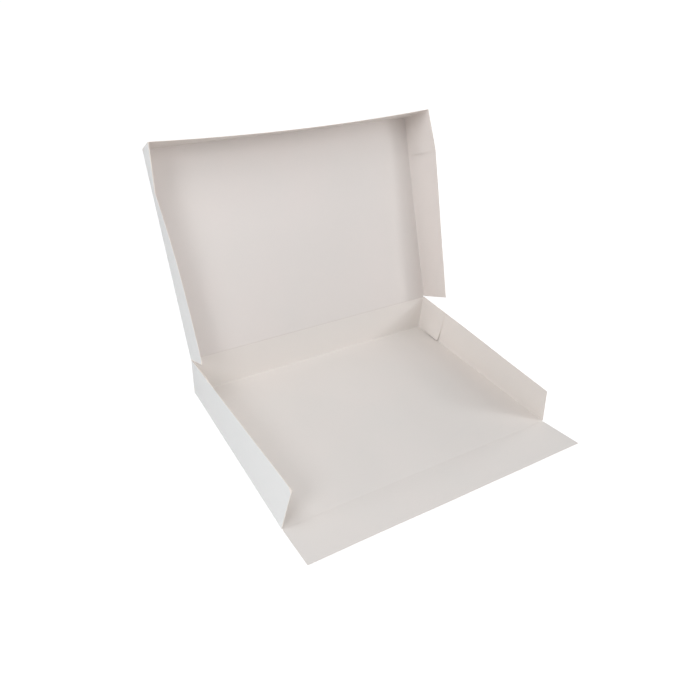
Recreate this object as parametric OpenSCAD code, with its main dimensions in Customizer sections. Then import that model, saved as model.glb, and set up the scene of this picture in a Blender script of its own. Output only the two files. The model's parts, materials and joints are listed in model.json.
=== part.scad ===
/* [Board] */
// Thickness of the folding board
board_t = 0.6; // [0.4:0.1:1.2]
// Room beside a crease, so that a panel turns without touching its neighbour
crease_gap = 0.2; // [0.1:0.05:0.5]
// Room between a glued tab and the wall that it is glued to
glue_gap = 0.3; // [0.3:0.05:0.6]
// Radius of the rounded free corners of a glued tab
tab_corner_r = 6; // [1:1:12]

/* [Tray] */
// Width of the floor, from left crease to right crease
tray_w = 555; // [350:5:700]
// Depth of the floor, from front crease to back crease
tray_d = 375; // [250:5:500]
// Height of the back wall and the side walls
wall_h = 80; // [60:1:110]
// How far the front end of the left wall leans in, in degrees
left_lean = 12.2; // [0:0.1:18]
// How far the front end of the right wall leans in, in degrees
right_lean = 14.1; // [0:0.1:18]
// Length of a rear corner tab
tray_tab_l = 76; // [40:1:100]
// Height kept free under a rear corner tab
tray_tab_foot = 2.5; // [1.5:0.5:6]

/* [Front flap] */
// How much lower than the side walls the front flap stands when it is raised
flap_drop = 1; // [0.5:0.5:4]
// How much narrower than the tray the front flap is, on each side
flap_trim = 1; // [1:0.5:5]
// Rise of the front flap above flat, as it lies, in degrees
flap_rise = 6.7; // [0:0.1:20]

/* [Lid] */
// How far the lid reaches past the tray's front crease when it is closed
lid_reach = 5; // [3:0.5:12]
// How far the lid's walls stay above the table when it is closed
lid_lift = 7; // [4:0.5:25]
// Room between the lid's side walls and the tray's side walls, on each side
lid_play = 0.5; // [0.5:0.1:3]
// Angle from closed at which the lid stands open
lid_open = 113.7; // [60:0.1:150]
// Length of a front corner tab of the lid
lid_tab_l = 78; // [40:1:100]
// Height kept free between a front corner tab and the lid's panel
lid_tab_foot = 2; // [1.5:0.5:6]
// Outward flare of the left lid wall at the end of its tab, in degrees
left_flare = 10.8; // [0:0.1:14]
// Outward flare of the right lid wall at the end of its tab, in degrees
right_flare = 10; // [0:0.1:14]
// Outward flare of the left lid wall at its front corner, in degrees
left_corner_flare = 5; // [0:0.1:8]
// Outward flare of the right lid wall at its front corner, in degrees
right_corner_flare = 2.9; // [0:0.1:8]
// How much further out the lid's left front corner is than its left hinge end
left_spread = 2; // [0:0.1:5]
// How much further out the lid's right front corner is than its right hinge end
right_spread = 1.3; // [0:0.1:5]
// Inward bow of the free edge of the lid's front wall, at its middle
front_bow = 3.5; // [0:0.5:4]

/* [Hidden] */
// Number of steps along the glued part and along the free part of a bent wall
TAB_STEPS = 8;
FREE_STEPS = 12;
BOW_STEPS = 16;
$fn = 48;

crease_r = board_t / 2;
front_y = -tray_d / 2;
back_y = tray_d / 2;
flap_axis = [0, front_y, crease_r];
lid_axis = [0, back_y - crease_r, wall_h + crease_gap + crease_r];
flap_l = wall_h - flap_drop;
lid_l = tray_d + lid_reach;
lid_wall_h = wall_h - lid_lift;
lid_half_w = tray_w / 2 + lid_play + board_t;
wall_run = tray_d - crease_r - crease_gap;
nested = board_t + glue_gap;

// Even steps from one value to another
function steps(from, to, count) = [for (k = [0:count]) from + (to - from) * k / count];

// Stations along a bent wall, finer where its tab is glued
function stations(tab_l, run) = concat(steps(0, tab_l, TAB_STEPS), [
    for (k = [1:FREE_STEPS]) tab_l + (run - tab_l) * k / FREE_STEPS
]);

// Lean of a tray wall at a distance u from the back corner
function lean_at(u, lean) = lean * u / wall_run;

// Flare of a lid wall at a distance u from the front corner
function flare_at(u, corner, peak) =
    u < lid_tab_l
        ? corner + (peak - corner) * u / lid_tab_l
        : peak * (lid_l - u) / (lid_l - lid_tab_l);

// Point on a leaning tray wall: u along it from the back, h up it, inset towards the inside
function tray_point(u, h, lean, inset) =
    let (a = lean_at(u, lean))
    [tray_w / 2 - h * sin(a) - inset / cos(a), back_y - u, h * cos(a)];

// Point on a flared lid wall, in the lid's own frame with its hinge at the origin
function lid_point(u, h, corner, peak, spread, inset) =
    let (a = flare_at(u, corner, peak))
    let (half = lid_half_w + spread * (lid_l - u) / lid_l)
    [half + h * sin(a) - inset / cos(a), lid_l - u, h * cos(a) - crease_r];

// Point on the bowed front wall of the lid: its ends follow the flare of the side walls
function front_point(share, h, inset) =
    let (flare = share < 0 ? left_corner_flare : right_corner_flare)
    let (spread = share < 0 ? left_spread : right_spread)
    let (half = lid_half_w + spread - nested - crease_r + h * sin(flare))
    let (bow = front_bow * (1 - pow(share, 2)) * h / lid_wall_h)
    [share * half, lid_l - inset - bow, h - crease_r];

// Two triangles over four corners in order
function halves(a, b, c, d) = [[a, b, c], [a, c, d]];

// A bent sheet of board, closed round its edges, between two faces on one grid of points
module sheet(outer, inner) {
    last = len(outer) - 1;
    top = len(outer[0]) - 1;
    row = top + 1;
    side = len(outer) * row;
    points = concat([for (line = outer) each line], [for (line = inner) each line]);
    face_cells = [for (i = [0:last - 1], j = [0:top - 1]) [i * row + j, (i + 1) * row + j]];
    outer_faces = [for (c = face_cells) each halves(c[0], c[1], c[1] + 1, c[0] + 1)];
    inner_faces = [for (f = outer_faces) [f[2] + side, f[1] + side, f[0] + side]];
    lower_rim = [
        for (i = [0:last - 1])
        each halves((i + 1) * row, i * row, i * row + side, (i + 1) * row + side)
    ];
    upper_rim = [
        for (i = [0:last - 1])
        let (a = i * row + top, b = a + row)
        each halves(a, b, b + side, a + side)
    ];
    first_rim = [for (j = [0:top - 1]) each halves(j, j + 1, j + 1 + side, j + side)];
    last_rim = [
        for (j = [0:top - 1])
        let (a = last * row + j)
        each halves(a + 1, a, a + side, a + 1 + side)
    ];
    polyhedron(points, concat(outer_faces, inner_faces, lower_rim, upper_rim, first_rim, last_rim));
}

// How far a tab's end is cut back at a height h between its foot and its top, to round its corners
function corner_cut(h, foot, top) =
    let (d = min(h - foot, top - h))
    d >= tab_corner_r ? 0 : tab_corner_r - sqrt(pow(tab_corner_r, 2) - pow(tab_corner_r - d, 2));

// Heights across a tab, close together at its rounded corners
function tab_heights(foot, top) = [
    foot,
    foot + tab_corner_r * (1 - cos(45)),
    foot + tab_corner_r,
    (foot + top) / 2,
    top - tab_corner_r,
    top - tab_corner_r * (1 - cos(45)),
    top
];

// Right side wall of the tray
module tray_side(lean) {
    run = stations(tray_tab_l, wall_run);
    outer = [for (u = run) [for (h = [0, wall_h]) tray_point(u, h, lean, 0)]];
    inner = [for (u = run) [for (h = [0, wall_h]) tray_point(u, h, lean, board_t)]];
    sheet(outer, inner);
}

// Right rear corner tab, folded from the back wall and glued inside the side wall
module tray_tab(lean) {
    foot = tray_tab_foot;
    top = wall_h - crease_gap;
    heights = tab_heights(foot, top);
    function reach(k, h) = (tray_tab_l - corner_cut(h, foot, top)) * k / TAB_STEPS;
    outer = [for (k = [0:TAB_STEPS]) [for (h = heights) tray_point(reach(k, h), h, lean, nested)]];
    inner = [
        for (k = [0:TAB_STEPS])
        [for (h = heights) tray_point(reach(k, h), h, lean, nested + board_t)]
    ];
    sheet(outer, inner);
}

// Right side wall of the lid
module lid_side(corner, peak, spread) {
    run = stations(lid_tab_l, lid_l);
    function line(u, inset) =
        [for (h = [0, lid_wall_h]) lid_point(u, h, corner, peak, spread, inset)];
    sheet([for (u = run) line(u, 0)], [for (u = run) line(u, board_t)]);
}

// Right front corner tab of the lid, folded from its front wall and glued inside the side wall
module lid_tab(corner, peak, spread) {
    foot = lid_tab_foot;
    top = lid_wall_h - crease_gap;
    heights = tab_heights(foot, top);
    function reach(k, h) = (lid_tab_l - corner_cut(h, foot, top)) * k / TAB_STEPS;
    function line(k, inset) =
        [for (h = heights) lid_point(reach(k, h), h, corner, peak, spread, inset)];
    outer = [for (k = [0:TAB_STEPS]) line(k, nested)];
    inner = [for (k = [0:TAB_STEPS]) line(k, nested + board_t)];
    sheet(outer, inner);
}

// Front wall of the lid, between its two corner tabs, bowed in along its free edge
module lid_front() {
    shares = steps(-1, 1, BOW_STEPS);
    outer = [for (s = shares) [for (h = [0, lid_wall_h]) front_point(s, h, 0)]];
    inner = [for (s = shares) [for (h = [0, lid_wall_h]) front_point(s, h, board_t)]];
    sheet(outer, inner);
}

// A flat panel with one crease along the X axis and its length along +Y, wider at its far end
module creased_panel(half_w, length, left_more = 0, right_more = 0) {
    near = [[-half_w, 0], [half_w, 0]];
    far = [[half_w + right_more, length], [-half_w - left_more, length]];
    translate([0, 0, -crease_r]) linear_extrude(board_t) polygon(concat(near, far));
    translate([-half_w, 0, 0]) rotate([0, 90, 0]) cylinder(r = crease_r, h = 2 * half_w);
}

// Floor, back wall, side walls and rear corner tabs, folded from one sheet
module tray() {
    floor_half = (tray_w - board_t) / 2;
    floor_front = front_y + crease_r + crease_gap;
    back_half = tray_w / 2 - nested - crease_r;
    color([0.88, 0.86, 0.84]) {
        translate([-floor_half, floor_front, 0]) {
            cube([2 * floor_half, back_y - crease_r - floor_front, board_t]);
        }
        translate([-back_half, back_y - board_t, 0]) cube([2 * back_half, board_t, wall_h]);
        tray_side(right_lean);
        tray_tab(right_lean);
        mirror([1, 0, 0]) {
            tray_side(left_lean);
            tray_tab(left_lean);
        }
    }
}

// Lid panel with its three walls, standing open on the back wall's top crease
module lid() {
    color([0.87, 0.85, 0.83]) translate(lid_axis) rotate([180 - lid_open, 0, 0]) {
        creased_panel(lid_half_w - crease_r, lid_l - crease_r, left_spread, right_spread);
        lid_front();
        lid_side(right_corner_flare, right_flare, right_spread);
        lid_tab(right_corner_flare, right_flare, right_spread);
        mirror([1, 0, 0]) {
            lid_side(left_corner_flare, left_flare, left_spread);
            lid_tab(left_corner_flare, left_flare, left_spread);
        }
    }
}

// Front wall of the tray, lying nearly flat in front of its crease
module front_flap() {
    color([0.88, 0.86, 0.84]) translate(flap_axis) rotate([-flap_rise, 0, 0]) {
        rotate([0, 0, 180]) creased_panel(tray_w / 2 - flap_trim, flap_l);
    }
}

tray();
lid();
front_flap();
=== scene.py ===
# %% [markdown]
# # A platter box of folded board, with its lid standing open
# The real box is one die-cut sheet of white board. Its grey-white inside is bare, and its
# outside is coated. The floor, the four walls and the lid are panels of that sheet, and
# scored creases join them. Two corner tabs at the back of the tray and two at the front of
# the lid are glued inside the side walls. The front wall is a flap that lies nearly flat.
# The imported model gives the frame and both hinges, and the sheets are folded to its sizes.

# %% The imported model
import json
import math

import bmesh
import bpy
import numpy as np
from mathutils import Matrix, Vector, noise


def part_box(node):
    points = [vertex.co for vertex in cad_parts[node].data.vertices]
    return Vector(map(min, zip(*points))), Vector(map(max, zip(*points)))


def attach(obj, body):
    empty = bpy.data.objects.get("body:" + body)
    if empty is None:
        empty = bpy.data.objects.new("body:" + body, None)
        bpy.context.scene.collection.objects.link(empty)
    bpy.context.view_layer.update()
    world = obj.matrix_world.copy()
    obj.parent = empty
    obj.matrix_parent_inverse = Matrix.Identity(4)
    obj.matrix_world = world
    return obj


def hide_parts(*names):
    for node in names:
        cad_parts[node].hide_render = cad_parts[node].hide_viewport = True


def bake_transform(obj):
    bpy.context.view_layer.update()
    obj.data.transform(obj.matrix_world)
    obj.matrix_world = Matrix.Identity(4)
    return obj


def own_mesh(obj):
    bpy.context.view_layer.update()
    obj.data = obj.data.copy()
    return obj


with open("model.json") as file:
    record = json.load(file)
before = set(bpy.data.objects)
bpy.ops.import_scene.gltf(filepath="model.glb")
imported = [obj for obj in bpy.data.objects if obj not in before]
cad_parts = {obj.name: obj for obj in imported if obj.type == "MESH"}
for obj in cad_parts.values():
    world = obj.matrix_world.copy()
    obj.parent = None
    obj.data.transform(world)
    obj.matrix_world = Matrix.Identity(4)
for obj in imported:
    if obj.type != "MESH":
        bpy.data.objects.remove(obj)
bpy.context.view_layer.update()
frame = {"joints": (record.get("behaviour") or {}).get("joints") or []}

# %% [markdown]
# ## Sizes
# Each size stands here once, in metres. Board this thin is best modelled as its middle
# surface first and given its thickness last, so the places below are those of the middle
# of the board. A crease isn't a knife edge: the board turns round a small radius there.

# %% Sizes of the board and its panels
MM = 0.001
BOARD = 0.6 * MM
MID = BOARD / 2
ROUND = 1.2 * MM
NEST = 0.9 * MM
TINY = 0.01 * MM

WALL = 80 * MM
TRAY_SIDE = 277.2 * MM
TRAY_BACK = 187.2 * MM
TRAY_FRONT = -187.5 * MM
TRAY_ENDS = (-187.0 * MM, 187.45 * MM)
TRAY_LEAN = {-1: math.radians(12.2), 1: math.radians(14.1)}

LID_SIDE = 278.3 * MM
LID_FRONT = 379.7 * MM
LID_WALL = 72.7 * MM
LID_CORNER = {-1: math.radians(5.0), 1: math.radians(2.9)}
LID_FLARE = {-1: math.radians(10.8), 1: math.radians(10.0)}
LID_SPREAD = {-1: 2.0 * MM, 1: 1.3 * MM}
LID_EASE = {-1: 2.3, 1: 1.1}
LID_TAB = 78 * MM
LID_TURN = math.radians(180 - 113.7)

FLAP_SIDE = 276.5 * MM
FLAP_LENGTH = 79 * MM
FLAP_RISE = math.radians(6.7)

SEAM = 1.5 * MM
lid_joint = Vector(frame["joints"][0]["pos_m"])
flap_joint = Vector(frame["joints"][1]["pos_m"])
tray_low, tray_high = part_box("tray")
print("tray in the packed model", [round(v / MM, 1) for v in tray_high - tray_low], "mm")
print("hinges at", [round(v / MM, 1) for v in lid_joint], [round(v / MM, 1) for v in flap_joint])

# %% [markdown]
# ## Working on board by hand
# A box maker starts from a flat panel and folds its edges up. The helpers below do the
# same with Blender's own operators: add a grid, select a free edge by its place, and
# extrude it round a crease and on along a wall. An operator acts on everything that is
# selected, so each helper first deselects the rest.

# %% Helpers for folding a sheet
COLUMNS, ROWS, FLAP_ROWS = 64, 44, 12
TAB_STEPS, WALL_STEPS, STRIP_STEPS = 16, 10, 7
RIGHT = Vector((1, 0, 0))
BACK = Vector((0, 1, 0))
UP = Vector((0, 0, 1))


def only(piece):
    bpy.ops.object.select_all(action="DESELECT")
    piece.select_set(True)
    bpy.context.view_layer.objects.active = piece


def flat_panel(name, half, near, far, columns, rows, level=0.0):
    """A grid of board in the XY plane, left open in edit mode."""
    bpy.ops.object.select_all(action="DESELECT")
    middle = (0, (near + far) / 2, level)
    bpy.ops.mesh.primitive_grid_add(
        x_subdivisions=columns, y_subdivisions=rows, size=1, location=middle
    )
    piece = bpy.context.object
    piece.name = piece.data.name = name
    piece.scale = (2 * half, far - near, 1)
    bpy.ops.object.transform_apply(location=True, rotation=True, scale=True)
    bpy.ops.object.mode_set(mode="EDIT")
    bpy.ops.mesh.select_mode(type="EDGE")
    return piece


def pick_border(piece, wanted):
    """Select the free edges that have both ends where wanted says."""
    bpy.ops.mesh.select_all(action="DESELECT")
    mesh = bmesh.from_edit_mesh(piece.data)
    for edge in mesh.edges:
        edge.select_set(edge.is_boundary and all(wanted(v.co) for v in edge.verts))
    bmesh.update_edit_mesh(piece.data)
    return sum(edge.select for edge in mesh.edges)


def pull(steps):
    for step in steps:
        bpy.ops.mesh.extrude_region_move(TRANSFORM_OT_translate={"value": step})


def crease(ahead, then, radius=ROUND, count=4):
    """Steps round a crease, from the direction ahead to the direction then."""
    angles = [math.pi / 2 * k / count for k in range(count + 1)]
    marks = [radius * (math.sin(a) * ahead + (1 - math.cos(a)) * then) for a in angles]
    return [b - a for a, b in zip(marks, marks[1:])]


def along(direction, marks):
    """Steps in one direction, from mark to mark."""
    return [direction * (b - a) for a, b in zip(marks, marks[1:])]


def spread(start, end, count):
    return [start + (end - start) * k / count for k in range(count + 1)]


def smooth(t):
    t = min(1.0, max(0.0, t))
    return t * t * (3 - 2 * t)


def between(x, low, high):
    return smooth((x - low) / (high - low))


# %% [markdown]
# ## Rounded tab corners
# A glued tab has its two free corners rounded by the die. Rows of faces that lie close
# together at both ends of its height leave enough points for that round.

# %% Rows across a tab, and its rounded corners
TAB_ROUND = 6 * MM
ROUND_ROWS = [TAB_ROUND * (1 - math.cos(math.pi / 8 * k)) for k in range(5)]


def tab_rows(foot, top, count):
    low = [foot + r for r in ROUND_ROWS]
    high = [top - r for r in reversed(ROUND_ROWS)]
    return low + spread(low[-1], high[0], count)[1:-1] + high


def corner_cut(z, foot, top):
    near = min(z - foot, top - z)
    if near >= TAB_ROUND:
        return 0.0
    return TAB_ROUND - math.sqrt(max(0.0, TAB_ROUND**2 - (TAB_ROUND - near) ** 2))


print("rows at each end of a tab", [round(r / MM, 1) for r in ROUND_ROWS])

# %% [markdown]
# ## The tray: floor, back wall, tabs and side walls
# The floor is the start. Its back edge is pulled up into the back wall, the ends of the
# back wall are folded forward into the tabs, and last the sides of the floor are pulled up
# into the side walls. The tabs lie a board's thickness and some glue inside the side
# walls, so the floor goes on a little past the back wall before its side creases.

# %% Fold the tray
BACK_HALF = TRAY_SIDE - NEST - ROUND
TRAY_FOOT = 8.0 * MM
TRAY_END_FOOT = 2.2 * MM
TRAY_SEAM = WALL - 1.0 * MM
TRAY_TAB = 76 * MM
WALL_ROWS = spread(MID + ROUND, WALL, WALL_STEPS)

tray = flat_panel(
    "tray_sheet", BACK_HALF, TRAY_FRONT + SEAM, TRAY_BACK - ROUND, COLUMNS, ROWS, MID
)
pick_border(tray, lambda p: p.y > TRAY_BACK - ROUND - TINY)
back_rows = [MID + ROUND, 4 * MM, 6.5 * MM] + tab_rows(TRAY_FOOT, TRAY_SEAM, count=8)
pull(crease(BACK, UP) + along(UP, back_rows))
for side in (-1, 1):
    out = side * RIGHT
    pick_border(tray, lambda p: p.x * side > BACK_HALF - TINY and p.z > TRAY_FOOT - TINY)
    tab_marks = spread(ROUND, TRAY_TAB, TAB_STEPS)
    pull(crease(out, -BACK) + along(-BACK, tab_marks))
    pick_border(tray, lambda p: p.x * side > BACK_HALF - TINY and p.z < MID + TINY)
    pull([NEST * out] + crease(out, UP) + along(UP, WALL_ROWS))
bpy.ops.object.mode_set(mode="OBJECT")
print("tray sheet", len(tray.data.polygons), "faces before it gets its thickness")

# %% [markdown]
# ## Distance from the folds and from the cut edges
# Along a scored line the fibres are pressed, and along a cut the coating is scuffed and
# the warm plies show, so the surface there looks a little different. Each point stores
# how far it is from the nearest fold and from the nearest cut edge, while the sheet is
# still square and those distances are easy to work out. The finish reads them later, and
# only close to a line, so nothing over FARTHEST is kept.

# %% Store the distances
FARTHEST = 12 * MM


def store_distance(piece, name, lines):
    layer = piece.data.attributes.new(name, "FLOAT", "POINT")
    points = np.array([v.co for v in piece.data.vertices])
    nearest = np.full(len(points), FARTHEST)
    for start, end in lines:
        start, end = np.array(start), np.array(end)
        line = end - start
        share = np.clip((points - start) @ line / (line @ line), 0, 1)
        gap = np.linalg.norm(points - start - share[:, None] * line, axis=1)
        nearest = np.minimum(nearest, gap)
    layer.data.foreach_set("value", nearest.astype(np.float32))
    return nearest


def free_edges(piece, kept):
    """The free edges of a sheet, as pairs of points, where kept says so of their middle."""
    mesh = bmesh.new()
    mesh.from_mesh(piece.data)
    pairs = [[v.co.copy() for v in edge.verts] for edge in mesh.edges if edge.is_boundary]
    mesh.free()
    return [(a, b) for a, b in pairs if kept((a + b) / 2)]


tray_corners = [(s * TRAY_SIDE, y, MID) for s, y in ((-1, TRAY_FRONT), (1, TRAY_FRONT))]
tray_corners += [(s * TRAY_SIDE, TRAY_BACK, MID) for s in (1, -1)]
tray_folds = [(tray_corners[k], tray_corners[(k + 1) % 4]) for k in range(4)]
tray_folds += [((-BACK_HALF, *lid_joint.yz), (BACK_HALF, *lid_joint.yz))]
tray_folds += [
    ((s * (TRAY_SIDE - NEST), TRAY_BACK, TRAY_FOOT), (s * (TRAY_SIDE - NEST), TRAY_BACK, WALL))
    for s in (-1, 1)
]
near = store_distance(tray, "fold", tray_folds)
print("points within 2 mm of a fold", int((near < 2 * MM).sum()))


def tray_cut(p):
    hinge = abs(p.x) < BACK_HALF and p.y > TRAY_BACK - TINY
    return not hinge and p.z > MID + ROUND


near = store_distance(tray, "cut", free_edges(tray, tray_cut))
print("points on a cut edge", int((near < TINY).sum()))

# %% [markdown]
# ## The set of the board
# Folded board never stands quite square. With the front wall down, nothing holds the
# front ends of the side walls, so they lean in, and a tab's free corner comes away from
# the wall where the glue stops. Most panels also have a slight waver, which dies out
# towards their folds. These shapes are moves of single points, and a function for each
# sheet says where each of its points goes.

# %% Let the tray's walls lean, lift a tab's corner and add the waver
def reshape(piece, move):
    for v in piece.data.vertices:
        v.co = move(v.co.copy())
    piece.data.update()


def waver(p, size, depth, seed):
    """Waves about size apart, with a height of up to depth."""
    return depth * noise.noise(Vector((p.x / size, p.y / size, p.z / size + seed)))


def tray_wall_kind(p):
    """Which panel a point of the square tray belongs to."""
    if abs(p.x) > TRAY_SIDE - NEST + TINY or (p.z < MID + ROUND and abs(p.x) > BACK_HALF + TINY):
        return "side"
    if abs(p.x) > BACK_HALF + TINY:
        return "tab"
    return "floor" if p.z < MID + TINY else "back"


STIFF, SOFT = 2 * MM, 90 * MM
TAB_TOP = WALL - 0.2 * MM
TAB_END_SHORT, TAB_END_LONG = 5 * MM, -4 * MM
TAB_TIP = 0.9
LOOSE_RUN, LOOSE_SHARE = (6 * MM, 42 * MM), (0.03, 0.45)
PEEL = {-1: 1.2 * MM, 1: 2.6 * MM}
PRESSED = 0.3 * MM
CORNER_FILL = 1.2 * MM


def tray_move(p):
    kind = tray_wall_kind(p)
    side = 1 if p.x > 0 else -1
    inside = between(TRAY_SIDE - abs(p.x), STIFF, SOFT)
    if kind == "floor":
        ends = between(p.y, TRAY_FRONT, -100 * MM) * between(TRAY_BACK - p.y, 0, 80 * MM)
        p.z += inside * ends * (0.5 * MM + waver(p, 160 * MM, 0.7 * MM, seed=3.0))
        return p
    if kind == "back":
        height = between(p.z, STIFF, 30 * MM) * between(TRAY_SEAM - p.z, 0, 25 * MM)
        p.y += inside * height * waver(p, 120 * MM, 1.2 * MM, seed=8.0)
        if abs(p.x) > BACK_HALF - TINY and MID + TINY < p.z < TRAY_FOOT - TINY:
            p.x += side * CORNER_FILL
        return p
    run = TRAY_BACK - p.y
    lean = TRAY_LEAN[side] * run / (TRAY_BACK - TRAY_ENDS[0])
    if kind == "side":
        fold = between(p.z, MID, MID + ROUND)
        if p.y > TRAY_BACK - ROUND - TINY:
            p.y += fold * (TRAY_ENDS[1] - p.y)
        if p.y < TRAY_FRONT + SEAM + TINY:
            p.y += fold * (TRAY_ENDS[0] - p.y)
        free = between(p.z, 10 * MM, WALL) * between(run, TRAY_TAB, 160 * MM)
        p.x += free * waver(p, 100 * MM, 1.0 * MM, seed=5.0 * side)
        lean *= fold
    else:
        share = (p.z - TRAY_FOOT) / (TRAY_SEAM - TRAY_FOOT)
        foot = TRAY_FOOT + (TRAY_END_FOOT - TRAY_FOOT) * min(1.0, run / TRAY_TAB)
        tip = between(run, TAB_TIP * TRAY_TAB, TRAY_TAB)
        p.y += corner_cut(p.z, TRAY_FOOT, TRAY_SEAM) * tip
        slant = TAB_END_SHORT + (TAB_END_LONG - TAB_END_SHORT) * share
        p.y += (TRAY_BACK - p.y) / TRAY_TAB * slant
        p.z = foot + share * (TAB_TOP - foot)
        loose = between(run, *LOOSE_RUN) * (1 - between(share, *LOOSE_SHARE))
        p.x += side * (PRESSED * tip - PEEL[side] * loose)
    return Vector((p.x - side * p.z * math.sin(lean), p.y, p.z * math.cos(lean)))


reshape(tray, tray_move)

# %% [markdown]
# ## The lid: panel, front wall, tabs and side walls
# The lid is folded flat on the table, with its hinge edge along the X axis and its inside
# up, and is stood on the hinge when it is done. Its order is the tray's: front wall, tabs,
# side walls. At the corner the die cuts the tabs away from the panel, by more at the fold
# than at the tab's end. The front wall is then made a piece of its own, which meets the
# rest edge to edge.

# %% Fold the lid
LID_HALF = LID_SIDE - NEST - ROUND
LID_FOOT = 9.0 * MM
LID_END_FOOT = 3.0 * MM

lid = flat_panel("lid_sheet", LID_HALF, SEAM, LID_FRONT - ROUND, COLUMNS, ROWS)
pick_border(lid, lambda p: p.y > LID_FRONT - ROUND - TINY)
front_rows = [ROUND, 3 * MM, 6 * MM] + tab_rows(LID_FOOT, LID_WALL, count=6)
pull(crease(BACK, UP) + along(UP, front_rows))
for side in (-1, 1):
    out = side * RIGHT
    pick_border(lid, lambda p: p.x * side > LID_HALF - TINY and p.z > LID_FOOT - TINY)
    pull(crease(out, -BACK) + along(-BACK, spread(ROUND, LID_TAB, TAB_STEPS)))
    pick_border(lid, lambda p: p.x * side > LID_HALF - TINY and p.z < TINY)
    pull([NEST * out] + crease(out, UP) + along(UP, spread(ROUND, LID_WALL, WALL_STEPS)))
bpy.ops.mesh.select_mode(type="FACE")
bpy.ops.mesh.select_all(action="DESELECT")
mesh = bmesh.from_edit_mesh(lid.data)
for face in mesh.faces:
    middle = face.calc_center_median()
    face.select_set(middle.z > ROUND and middle.y > LID_FRONT - TINY)
bmesh.update_edit_mesh(lid.data)
bpy.ops.mesh.separate(type="SELECTED")
bpy.ops.object.mode_set(mode="OBJECT")
lid_front = next(o for o in bpy.context.selected_objects if o != lid)
lid_front.name = lid_front.data.name = "lid_front"

lid_corners = [(-LID_SIDE, 0, 0), (-LID_SIDE, LID_FRONT, 0)]
lid_corners += [(LID_SIDE, LID_FRONT, 0), (LID_SIDE, 0, 0)]
lid_folds = [(lid_corners[k], lid_corners[(k + 1) % 4]) for k in range(4)]
lid_folds += [
    ((s * (LID_SIDE - NEST), LID_FRONT, LID_FOOT), (s * (LID_SIDE - NEST), LID_FRONT, LID_WALL))
    for s in (-1, 1)
]
for piece in (lid, lid_front):
    store_distance(piece, "fold", lid_folds)
    store_distance(piece, "cut", free_edges(piece, lambda p: p.z > ROUND + TINY))
print("lid", len(lid.data.polygons), "faces, its front wall", len(lid_front.data.polygons))

# %% [markdown]
# ## The set of the lid
# The lid's side walls flare out from the hinge to the end of each tab, where the board
# is doubled and stiff, and come back in to the front corner. That leaves a soft kink at
# the tab's end. LID_EASE says how soon the flare gives way behind it, 1 being evenly. The
# panel is a little wider in front than at the hinge, so that it slips over the tray. The
# front wall bows in at the middle of its free edge.

# %% Flare the lid's walls and bow its front
FRONT_BOW = 7.8 * MM
LID_HINGE_GAP = 0.4 * MM
LID_LOOSE_RUN = (0.7 * LID_TAB, LID_TAB)
LID_LOOSE_LOW, LID_LOOSE_HIGH = (0.15, 0.4), (0.45, 0.7)
LID_PEEL = {-1: 0.8 * MM, 1: 2.2 * MM}


def lid_flare(side, run):
    corner, peak = LID_CORNER[side], LID_FLARE[side]
    if run < LID_TAB:
        return corner + (peak - corner) * run / LID_TAB
    return peak * ((LID_FRONT - run) / (LID_FRONT - LID_TAB)) ** LID_EASE[side]


def lid_move(p):
    side = 1 if p.x > 0 else -1
    run = LID_FRONT - p.y
    inside = between(LID_SIDE - abs(p.x), STIFF, SOFT)
    is_side = abs(p.x) > LID_SIDE - NEST + TINY or (p.z < ROUND and abs(p.x) > LID_HALF + TINY)
    if is_side:
        fold = between(p.z, 0, ROUND)
        if p.y < SEAM + TINY:
            p.y += fold * (LID_HINGE_GAP - p.y)
        if run < ROUND + TINY:
            p.y += fold * (LID_FRONT + MID - p.y)
        free = between(p.z, 8 * MM, LID_WALL) * between(run, LID_TAB, 200 * MM)
        p.x += free * waver(p, 110 * MM, 1.0 * MM, seed=4.0 * side)
        flare = fold * lid_flare(side, run)
    elif abs(p.x) > LID_HALF + TINY:
        share = (p.z - LID_FOOT) / (LID_WALL - LID_FOOT)
        foot = LID_FOOT + (LID_END_FOOT - LID_FOOT) * min(1.0, run / LID_TAB)
        tip = between(run, TAB_TIP * LID_TAB, LID_TAB)
        p.y += corner_cut(p.z, LID_FOOT, LID_WALL) * tip
        p.z = foot + share * (LID_WALL - foot)
        loose = between(run, *LID_LOOSE_RUN) * between(share, *LID_LOOSE_LOW)
        loose *= 1 - between(share, *LID_LOOSE_HIGH)
        p.x += side * (PRESSED * tip - LID_PEEL[side] * loose)
        flare = lid_flare(side, run)
    elif p.z > TINY:
        share = p.x / (LID_SIDE - NEST)
        p.y -= FRONT_BOW * (1 - share**2) * p.z / LID_WALL
        flare = LID_CORNER[side] * abs(share)
        if abs(p.x) > LID_HALF - TINY and p.z < LID_FOOT - TINY:
            p.x += side * CORNER_FILL
    else:
        ends = between(p.y, 0, 100 * MM) * between(run, 0, 100 * MM)
        p.z += inside * ends * waver(p, 170 * MM, 1.4 * MM, seed=6.0)
        flare = 0.0
    wide = 1 + LID_SPREAD[side] / LID_SIDE * p.y / LID_FRONT
    return Vector((p.x * wide + side * p.z * math.sin(flare), p.y, p.z * math.cos(flare)))


reshape(lid, lid_move)
reshape(lid_front, lid_move)

# %% [markdown]
# ## The front flap
# The front wall has no tabs: it is a plain rectangle that is let down in front of the
# floor. It lies a little above flat, because the crease springs back. Its waver dies out
# within WALL_REACH of both ends, because the side walls' leaning front ends stand right
# behind the flap there when it is raised.

# %% Make the flap
WALL_REACH = 25 * MM

flap = flat_panel("flap_sheet", FLAP_SIDE, SEAM, FLAP_LENGTH, COLUMNS, FLAP_ROWS)
bpy.ops.object.mode_set(mode="OBJECT")
store_distance(flap, "fold", [((-FLAP_SIDE, 0, 0), (FLAP_SIDE, 0, 0))])
store_distance(flap, "cut", free_edges(flap, lambda p: p.y > SEAM + TINY))


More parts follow.
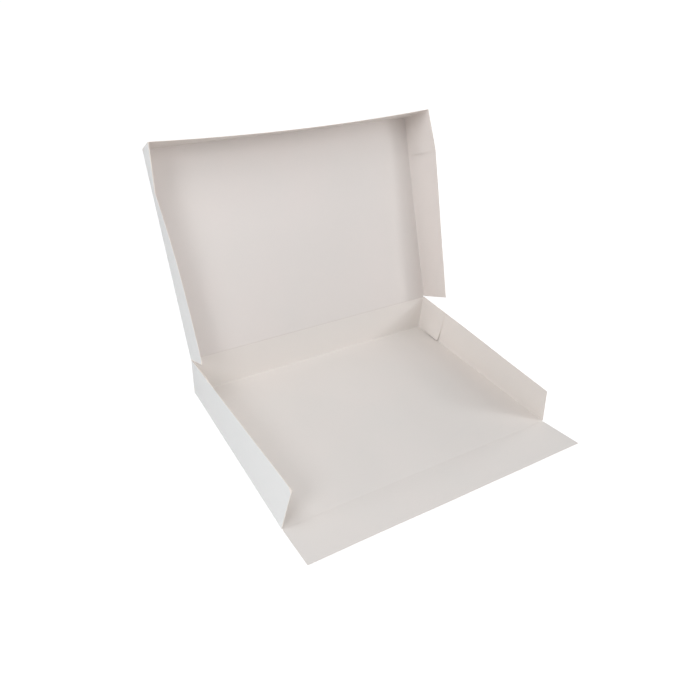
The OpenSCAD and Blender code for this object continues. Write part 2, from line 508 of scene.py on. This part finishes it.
def flap_move(p):
    inside = between(FLAP_SIDE - abs(p.x), WALL_REACH, SOFT)
    far = between(p.y, 5 * MM, FLAP_LENGTH)
    p.z += inside * far * waver(p, 130 * MM, 0.9 * MM, seed=2.0)
    return p


reshape(flap, flap_move)
print("flap reaches", round(FLAP_LENGTH / MM, 1), "mm from its crease")

# %% [markdown]
# ## Standing the lid and the flap at their hinges
# A finished piece has its object at the origin and its place in its mesh. So the lid and
# the flap are turned and moved as objects, and the move is then applied to the mesh.

# %% Put the lid and the flap in place
def settle(piece, turn, place):
    only(piece)
    piece.matrix_world = Matrix.Translation(place) @ turn
    bpy.ops.object.transform_apply(location=True, rotation=True, scale=True)


lid_turn = Matrix.Rotation(LID_TURN, 4, "X")
flap_turn = Matrix.Rotation(-FLAP_RISE, 4, "X") @ Matrix.Rotation(math.pi, 4, "Z")
settle(lid, lid_turn, lid_joint)
settle(lid_front, lid_turn, lid_joint)
settle(flap, flap_turn, flap_joint)
lid_ahead = lid_turn @ BACK
flap_ahead = flap_turn @ BACK
print("lid stands along", [round(v, 3) for v in lid_ahead])

# %% [markdown]
# ## The two hinge creases
# The lid and the flap turn on scored lines, and the board is unbroken there. Each line is
# a narrow strip of its own that meets the sheets on both sides edge to edge.

# %% Make the two crease strips
def crease_strip(name, half, start, knee, end):
    """A strip from start to end by way of a rounded knee, as wide as twice half."""
    strip = flat_panel(name, half, 0, SEAM, COLUMNS, 1)
    pick_border(strip, lambda p: p.y > SEAM - TINY)
    pull(along(BACK, spread(SEAM, 2 * SEAM, STRIP_STEPS)))
    bpy.ops.object.mode_set(mode="OBJECT")
    rows = sorted({round(v.co.y, 8) for v in strip.data.vertices})
    path = []
    for k in range(len(rows)):
        t = k / (len(rows) - 1)
        path.append((1 - t) ** 2 * start + 2 * t * (1 - t) * knee + t**2 * end)
    for v in strip.data.vertices:
        x = v.co.x
        v.co = path[rows.index(round(v.co.y, 8))]
        v.co.x = x
    line = ((-half, *knee.yz), (half, *knee.yz))
    store_distance(strip, "fold", [line])
    store_distance(strip, "cut", [])
    return strip


lid_start = Vector((0, TRAY_BACK, TRAY_SEAM))
lid_crease = crease_strip(
    "lid_crease", BACK_HALF, lid_start, lid_joint, lid_joint + SEAM * lid_ahead
)
flap_start = Vector((0, TRAY_FRONT + SEAM, MID))
flap_crease = crease_strip(
    "flap_crease", FLAP_SIDE - 1 * MM, flap_start, flap_joint, flap_joint + SEAM * flap_ahead
)
print("crease strips of", len(lid_crease.data.polygons), "faces each")

# %% [markdown]
# ## Thickness
# Solidify gives the board its 0.6 mm, half on each side of the middle surface. It also
# sorts the faces by material: the side that the normals point to is the bare inside, the
# new side is the coated outside, and the rim all round is the cut edge.

# %% Give every sheet its thickness
OUTSIDE, EDGE = 1, 2


def thicken(piece, up):
    """up is the direction that the first face of the sheet points to, on the inside."""
    only(piece)
    bpy.ops.object.mode_set(mode="EDIT")
    bpy.ops.mesh.select_all(action="SELECT")
    bpy.ops.mesh.remove_doubles(threshold=TINY)
    bpy.ops.mesh.normals_make_consistent(inside=False)
    bpy.ops.object.mode_set(mode="OBJECT")
    if piece.data.polygons[0].normal.dot(up) < 0:
        bpy.ops.object.mode_set(mode="EDIT")
        bpy.ops.mesh.select_all(action="SELECT")
        bpy.ops.mesh.flip_normals()
        bpy.ops.object.mode_set(mode="OBJECT")
    solid = piece.modifiers.new("Board", "SOLIDIFY")
    solid.thickness = BOARD
    solid.offset = 0
    solid.use_even_offset = True
    solid.use_quality_normals = True
    solid.material_offset = OUTSIDE
    solid.material_offset_rim = EDGE
    bpy.ops.object.modifier_apply(modifier=solid.name)
    bpy.ops.object.shade_smooth_by_angle(angle=math.radians(35))


lid_inside = lid_turn @ UP
print("lid's inside faces", [round(v, 3) for v in lid_inside])

# %% [markdown]
# ## Shared surface detail
# Three effects are shared by the board's finishes. Fibres are short, thin and lie mostly
# one way, so two stretched noises make them. The cloudy look-through of board is a soft
# noise about ten centimetres across, and a finer one varies the sheen. The line marks read
# the stored distances, and give a pressed look along the folds and a scuffed one along the
# cut edges.

# %% Node groups for fibres, clouding and line marks
FIBRE_SCALE, WIDE_SCALE, FINE_SCALE = 2400, 9, 120
FLECK_START, FLECK_GAIN = 0.62, 9.0
FIBRE_LAYERS = ((12, (1.0, 0.22, 0.5)), (-24, (0.75, 0.3, 1.0)))
MARK_FALL = 1.5


def new_group(name, inputs, outputs):
    group = bpy.data.node_groups.new(name, "ShaderNodeTree")
    for label, value in inputs:
        socket = group.interface.new_socket(label, in_out="INPUT", socket_type="NodeSocketFloat")
        socket.default_value = value
    for label in outputs:
        group.interface.new_socket(label, in_out="OUTPUT", socket_type="NodeSocketFloat")
    source = group.nodes.new("NodeGroupInput")
    drain = group.nodes.new("NodeGroupOutput")
    return group, source, drain


def node(tree, kind, **settings):
    made = tree.nodes.new("ShaderNode" + kind)
    for key, value in settings.items():
        setattr(made, key, value)
    return made


def math_node(tree, operation, first, second, third=None):
    """A Math node; each of its values is a number or an output to link."""
    made = node(tree, "Math", operation=operation)
    for slot, value in enumerate((first, second, third)):
        if isinstance(value, bpy.types.NodeSocket):
            tree.links.new(value, made.inputs[slot])
        elif value is not None:
            made.inputs[slot].default_value = value
    return made.outputs[0]


def noise_node(tree, vector, scale, detail):
    made = node(tree, "TexNoise")
    made.inputs["Scale"].default_value = scale
    made.inputs["Detail"].default_value = detail
    tree.links.new(vector, made.inputs["Vector"])
    return made.outputs["Fac"]


fibres, fibres_in, fibres_out = new_group(
    "board_fibres", [("Size", 1.0)], ["Height", "Fleck"]
)
place = node(fibres, "TexCoord").outputs["Object"]
sized = node(fibres, "VectorMath", operation="SCALE")
fibres.links.new(place, sized.inputs[0])
fibres.links.new(fibres_in.outputs["Size"], sized.inputs["Scale"])
layers = []
for turn, stretch in FIBRE_LAYERS:
    mapping = node(fibres, "Mapping")
    mapping.inputs["Rotation"].default_value = (math.radians(turn), 0, math.radians(turn))
    mapping.inputs["Scale"].default_value = stretch
    fibres.links.new(sized.outputs[0], mapping.inputs["Vector"])
    layers.append(noise_node(fibres, mapping.outputs["Vector"], FIBRE_SCALE, 3))
fibres.links.new(
    math_node(fibres, "ADD", layers[0], layers[1]), fibres_out.inputs["Height"]
)
fleck = math_node(fibres, "SUBTRACT", layers[0], FLECK_START)
fleck = math_node(fibres, "MULTIPLY", fleck, FLECK_GAIN)
fleck.node.use_clamp = True
fibres.links.new(fleck, fibres_out.inputs["Fleck"])

cloud, cloud_in, cloud_out = new_group("board_cloud", [("Size", 1.0)], ["Wide", "Fine"])
place = node(cloud, "TexCoord").outputs["Object"]
sized = node(cloud, "VectorMath", operation="SCALE")
cloud.links.new(place, sized.inputs[0])
cloud.links.new(cloud_in.outputs["Size"], sized.inputs["Scale"])
cloud.links.new(noise_node(cloud, sized.outputs[0], WIDE_SCALE, 2), cloud_out.inputs["Wide"])
cloud.links.new(noise_node(cloud, sized.outputs[0], FINE_SCALE, 4), cloud_out.inputs["Fine"])

lines, lines_in, lines_out = new_group(
    "line_marks", [("Fold Width", 1.2 * MM), ("Cut Width", 1.8 * MM)], ["Fold", "Cut"]
)
for attribute, output in (("fold", "Fold"), ("cut", "Cut")):
    stored = node(lines, "Attribute", attribute_name=attribute)
    width = lines_in.outputs[output + " Width"]
    share = math_node(lines, "DIVIDE", stored.outputs["Fac"], width)
    share = math_node(lines, "SUBTRACT", 1.0, share)
    share.node.use_clamp = True
    lines.links.new(math_node(lines, "POWER", share, MARK_FALL), lines_out.inputs[output])
print("node groups", [g.name for g in (fibres, cloud, lines)])

# %% [markdown]
# ## The finishes of the board
# The inside is bare, a warm grey-white with a dull fibrous face. The tray and the flap are the
# same board as the lid, but their inside is painted a shade lighter, as painted light that
# brightens the tray. The outside is coated, whiter and smoother, with a soft sheen. The cut
# edge shows the middle plies, a little darker and rough.

# %% Mix the finishes
CLOUD_SHARE, FLECK_SHARE, FOLD_SHARE, CUT_SHARE = 0.9, 0.35, 0.2, 0.9
ROUGH_SPREAD = 0.16
RELIEF_STRENGTH = 0.6


def tint(tree, base, mark, colour, amount):
    """The colour base, moved towards another colour by a mark."""
    made = node(tree, "Mix", data_type="RGBA")
    tree.links.new(math_node(tree, "MULTIPLY", mark, amount), made.inputs["Factor"])
    if isinstance(base, bpy.types.NodeSocket):
        tree.links.new(base, made.inputs["A"])
    else:
        made.inputs["A"].default_value = (*base, 1)
    made.inputs["B"].default_value = (*colour, 1)
    return made.outputs["Result"]


def board_finish(name, base, cool, fleck, scored, scuffed, dull, relief, sheen):
    """dull is the mean roughness, relief the height of the fibres in metres."""
    material = bpy.data.materials.new(name)
    material.use_nodes = True
    tree = material.node_tree
    shader = tree.nodes["Principled BSDF"]
    shader.inputs["Specular IOR Level"].default_value = sheen
    parts = {}
    for group in (fibres, cloud, lines):
        parts[group.name] = node(tree, "Group", node_tree=group)
    grain, mottle = parts["board_fibres"], parts["board_cloud"]
    marks = parts["line_marks"].outputs
    colour = tint(tree, base, mottle.outputs["Wide"], cool, CLOUD_SHARE)
    colour = tint(tree, colour, grain.outputs["Fleck"], fleck, FLECK_SHARE)
    colour = tint(tree, colour, marks["Fold"], scored, FOLD_SHARE)
    colour = tint(tree, colour, marks["Cut"], scuffed, CUT_SHARE)
    tree.links.new(colour, shader.inputs["Base Color"])
    smoothest = dull - ROUGH_SPREAD / 2
    rough = math_node(
        tree, "MULTIPLY_ADD", mottle.outputs["Fine"], ROUGH_SPREAD, smoothest
    )
    tree.links.new(rough, shader.inputs["Roughness"])
    bump = node(tree, "Bump")
    bump.inputs["Distance"].default_value = relief
    bump.inputs["Strength"].default_value = RELIEF_STRENGTH
    tree.links.new(grain.outputs["Height"], bump.inputs["Height"])
    tree.links.new(bump.outputs["Normal"], shader.inputs["Normal"])
    return material


lid_board_inside = board_finish(
    "lid_board_inside",
    base=(0.757, 0.688, 0.650),
    cool=(0.717, 0.674, 0.637),
    fleck=(0.60, 0.54, 0.49),
    scored=(0.67, 0.60, 0.56),
    scuffed=(0.74, 0.68, 0.64),
    dull=0.85,
    relief=0.04 * MM,
    sheen=0.25,
)
# Painted light: the lid's inside board, painted a shade lighter for the tray and the flap.
board_inside_painted_lighter = board_finish(
    "board_inside_painted_lighter",
    base=(0.818, 0.757, 0.714),
    cool=(0.775, 0.741, 0.700),
    fleck=(0.64, 0.57, 0.52),
    scored=(0.71, 0.64, 0.59),
    scuffed=(0.78, 0.72, 0.68),
    dull=0.85,
    relief=0.04 * MM,
    sheen=0.25,
)
board_outside = board_finish(
    "board_outside",
    base=(0.82, 0.80, 0.775),
    cool=(0.795, 0.785, 0.765),
    fleck=(0.75, 0.74, 0.715),
    scored=(0.74, 0.71, 0.675),
    scuffed=(0.90, 0.81, 0.73),
    dull=0.6,
    relief=0.012 * MM,
    sheen=0.35,
)
board_edge = board_finish(
    "board_edge",
    base=(0.735, 0.68, 0.62),
    cool=(0.67, 0.62, 0.56),
    fleck=(0.53, 0.46, 0.39),
    scored=(0.67, 0.60, 0.54),
    scuffed=(0.86, 0.78, 0.70),
    dull=0.9,
    relief=0.06 * MM,
    sheen=0.2,
)
print("finishes", [m.name for m in (lid_board_inside, board_inside_painted_lighter, board_outside, board_edge)])

# %% [markdown]
# ## Finishing the pieces
# Each sheet takes its three finishes and its thickness. Then it is told which body of the
# imported model it moves with, and the imported part that it replaces is hidden. The two
# crease strips keep their place baked into their meshes.

for piece, up, inside in (
    (tray, UP, board_inside_painted_lighter),
    (lid, lid_inside, lid_board_inside),
    (lid_front, -lid_ahead, lid_board_inside),
    (flap, UP, board_inside_painted_lighter),
    (lid_crease, -BACK, lid_board_inside),
    (flap_crease, UP, board_inside_painted_lighter),
):
    for material in (inside, board_outside, board_edge):
        piece.data.materials.append(material)
    thicken(piece, up)
    low = [round(min(v.co[k] for v in piece.data.vertices) / MM, 1) for k in range(3)]
    high = [round(max(v.co[k] for v in piece.data.vertices) / MM, 1) for k in range(3)]
    print(piece.name, "from", low, "to", high, "mm,", len(piece.data.polygons), "faces")

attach(tray, "tray")
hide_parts("tray")
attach(lid, "lid")
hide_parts("lid")
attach(lid_front, "lid")
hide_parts("lid")
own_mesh(lid_front)
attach(flap, "front_flap")
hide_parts("front_flap")
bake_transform(lid_crease)
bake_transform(flap_crease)

# %% [markdown]
# ## The floor of the studio
# The box stands on a plain pale floor. To the camera the floor is four parts white light
# of its own to one part pale paint, which keeps the box's soft shadow. To every other ray
# it is only the paint, so it throws back light as a real floor does.

# %% Lay the floor
FLOOR_SIZE = 40.0
FLOOR_LEVEL = -0.2 * MM
FLOOR_GLOW = 1.22
GLOW_SHARE = 0.8

bpy.ops.object.select_all(action="DESELECT")
bpy.ops.mesh.primitive_plane_add(size=FLOOR_SIZE, location=(0, 0, FLOOR_LEVEL))
studio_floor = bpy.context.object
studio_floor.name = "studio_floor"
paint = bpy.data.materials.new("pale_floor")
paint.use_nodes = True
tree = paint.node_tree
shader = tree.nodes["Principled BSDF"]
shader.inputs["Base Color"].default_value = (0.85, 0.85, 0.85, 1)
shader.inputs["Roughness"].default_value = 0.9
shader.inputs["Specular IOR Level"].default_value = 0.1
glow = node(tree, "Emission")
glow.inputs["Strength"].default_value = FLOOR_GLOW
seen = node(tree, "LightPath").outputs["Is Camera Ray"]
seen = math_node(tree, "MULTIPLY", seen, GLOW_SHARE)
mixed = node(tree, "MixShader")
tree.links.new(seen, mixed.inputs[0])
tree.links.new(shader.outputs[0], mixed.inputs[1])
tree.links.new(glow.outputs[0], mixed.inputs[2])
tree.links.new(mixed.outputs[0], tree.nodes["Material Output"].inputs["Surface"])
studio_floor.data.materials.append(paint)
print("floor laid")

# %% [markdown]
# ## Light
# The photograph has soft light with no hard shadows. Soft boxes at the front left, the
# front right and the right, a high one close by on the left, and low ones that reach under
# the lid come near its shades. A right-hand wall hides the boxes on the right from the
# panel beside it, and that leaves a darker band there. A pale world fills in the rest. To
# the camera and to mirrors the world is plain white, whatever light it gives. The light is
# a little cool and the board a little warm, so the corners, where light is thrown back
# twice, turn warmer.

# %% Light the scene
COOL_WHITE = (0.975, 1.0, 1.03)
TENT_STRENGTH = 0.33

scene = bpy.context.scene
world = bpy.data.worlds.new("white_tent")
scene.world = world
world.use_nodes = True
tree = world.node_tree
tent = tree.nodes["Background"]
tent.inputs["Color"].default_value = (*COOL_WHITE, 1)
tent.inputs["Strength"].default_value = TENT_STRENGTH
plain = node(tree, "Background")
plain.inputs["Color"].default_value = (1, 1, 1, 1)
plain.inputs["Strength"].default_value = 1.0
rays = node(tree, "LightPath")
direct = math_node(tree, "MAXIMUM", rays.outputs["Is Camera Ray"], rays.outputs["Is Glossy Ray"])
direct = math_node(tree, "MAXIMUM", direct, rays.outputs["Is Transmission Ray"])
mixed = node(tree, "MixShader")
tree.links.new(direct, mixed.inputs[0])
tree.links.new(tent.outputs[0], mixed.inputs[1])
tree.links.new(plain.outputs[0], mixed.inputs[2])
tree.links.new(mixed.outputs[0], tree.nodes["World Output"].inputs["Surface"])

BOX_CENTRE = Vector((0, 0, 0.12))


def soft_box(name, around, above, distance, width, height, power):
    """A lamp around degrees to the right of the front and above degrees over the floor."""
    around, above = math.radians(around), math.radians(above)
    flat = distance * math.cos(above)
    away = Vector((flat * math.sin(around), -flat * math.cos(around), distance * math.sin(above)))
    bpy.ops.object.light_add(type="AREA", location=BOX_CENTRE + away)
    lamp = bpy.context.object
    lamp.name = name
    lamp.data.shape = "RECTANGLE"
    lamp.data.size = width
    lamp.data.size_y = height
    lamp.data.energy = power
    lamp.data.color = COOL_WHITE
    lamp.rotation_euler = (-away).to_track_quat("-Z", "Y").to_euler()
    return lamp


soft_box("front_left", -60, 35, 2.5, 0.8, 0.8, 12.6)
soft_box("front_right", 32, 35, 2.5, 0.8, 0.8, 9.0)
soft_box("right", 45, 22, 2.5, 0.5, 0.5, 11.4)
soft_box("left_high", -90, 60, 1.2, 0.5, 0.5, 3.0)
soft_box("left_low", -90, 12, 2.5, 0.7, 0.7, 9.5)
soft_box("right_low", 90, 12, 2.5, 0.7, 0.7, 12.5)
soft_box("front_low", 0, 12, 2.5, 0.7, 0.7, 2.5)
scene.view_settings.view_transform = "Standard"

# %% [markdown]
# ## Camera
# The camera's place and lens come from the box itself. Its panels are taken as true
# rectangles, and where their corners fall in the picture then gives one place to stand.

# %% Place the camera
PICTURE = 700
SENSOR = 36
FOCAL_PIXELS = 581.157
CENTRE_PIXELS = (286.909, 370.896)
STAND = Vector((-0.5448, -0.6894, 0.7179))
YAW, PITCH, ROLL = (math.radians(a) for a in (28.397, 36.316, -1.098))

level = math.cos(PITCH)
ahead = Vector((math.sin(YAW) * level, math.cos(YAW) * level, -math.sin(PITCH)))
across = Vector((math.cos(YAW), -math.sin(YAW), 0))
down = ahead.cross(across)
across, down = (
    math.cos(ROLL) * across + math.sin(ROLL) * down,
    math.cos(ROLL) * down - math.sin(ROLL) * across,
)
bpy.ops.object.camera_add()
camera = bpy.context.object
camera.name = "camera"
turned = Matrix((across, -down, -ahead)).transposed().to_4x4()
camera.matrix_world = Matrix.Translation(STAND) @ turned
camera.data.sensor_width = SENSOR
camera.data.lens = SENSOR * FOCAL_PIXELS / PICTURE
camera.data.shift_x = (PICTURE / 2 - CENTRE_PIXELS[0]) / PICTURE
camera.data.shift_y = (CENTRE_PIXELS[1] - PICTURE / 2) / PICTURE
scene.camera = camera
print("lens", round(camera.data.lens, 2), "mm")
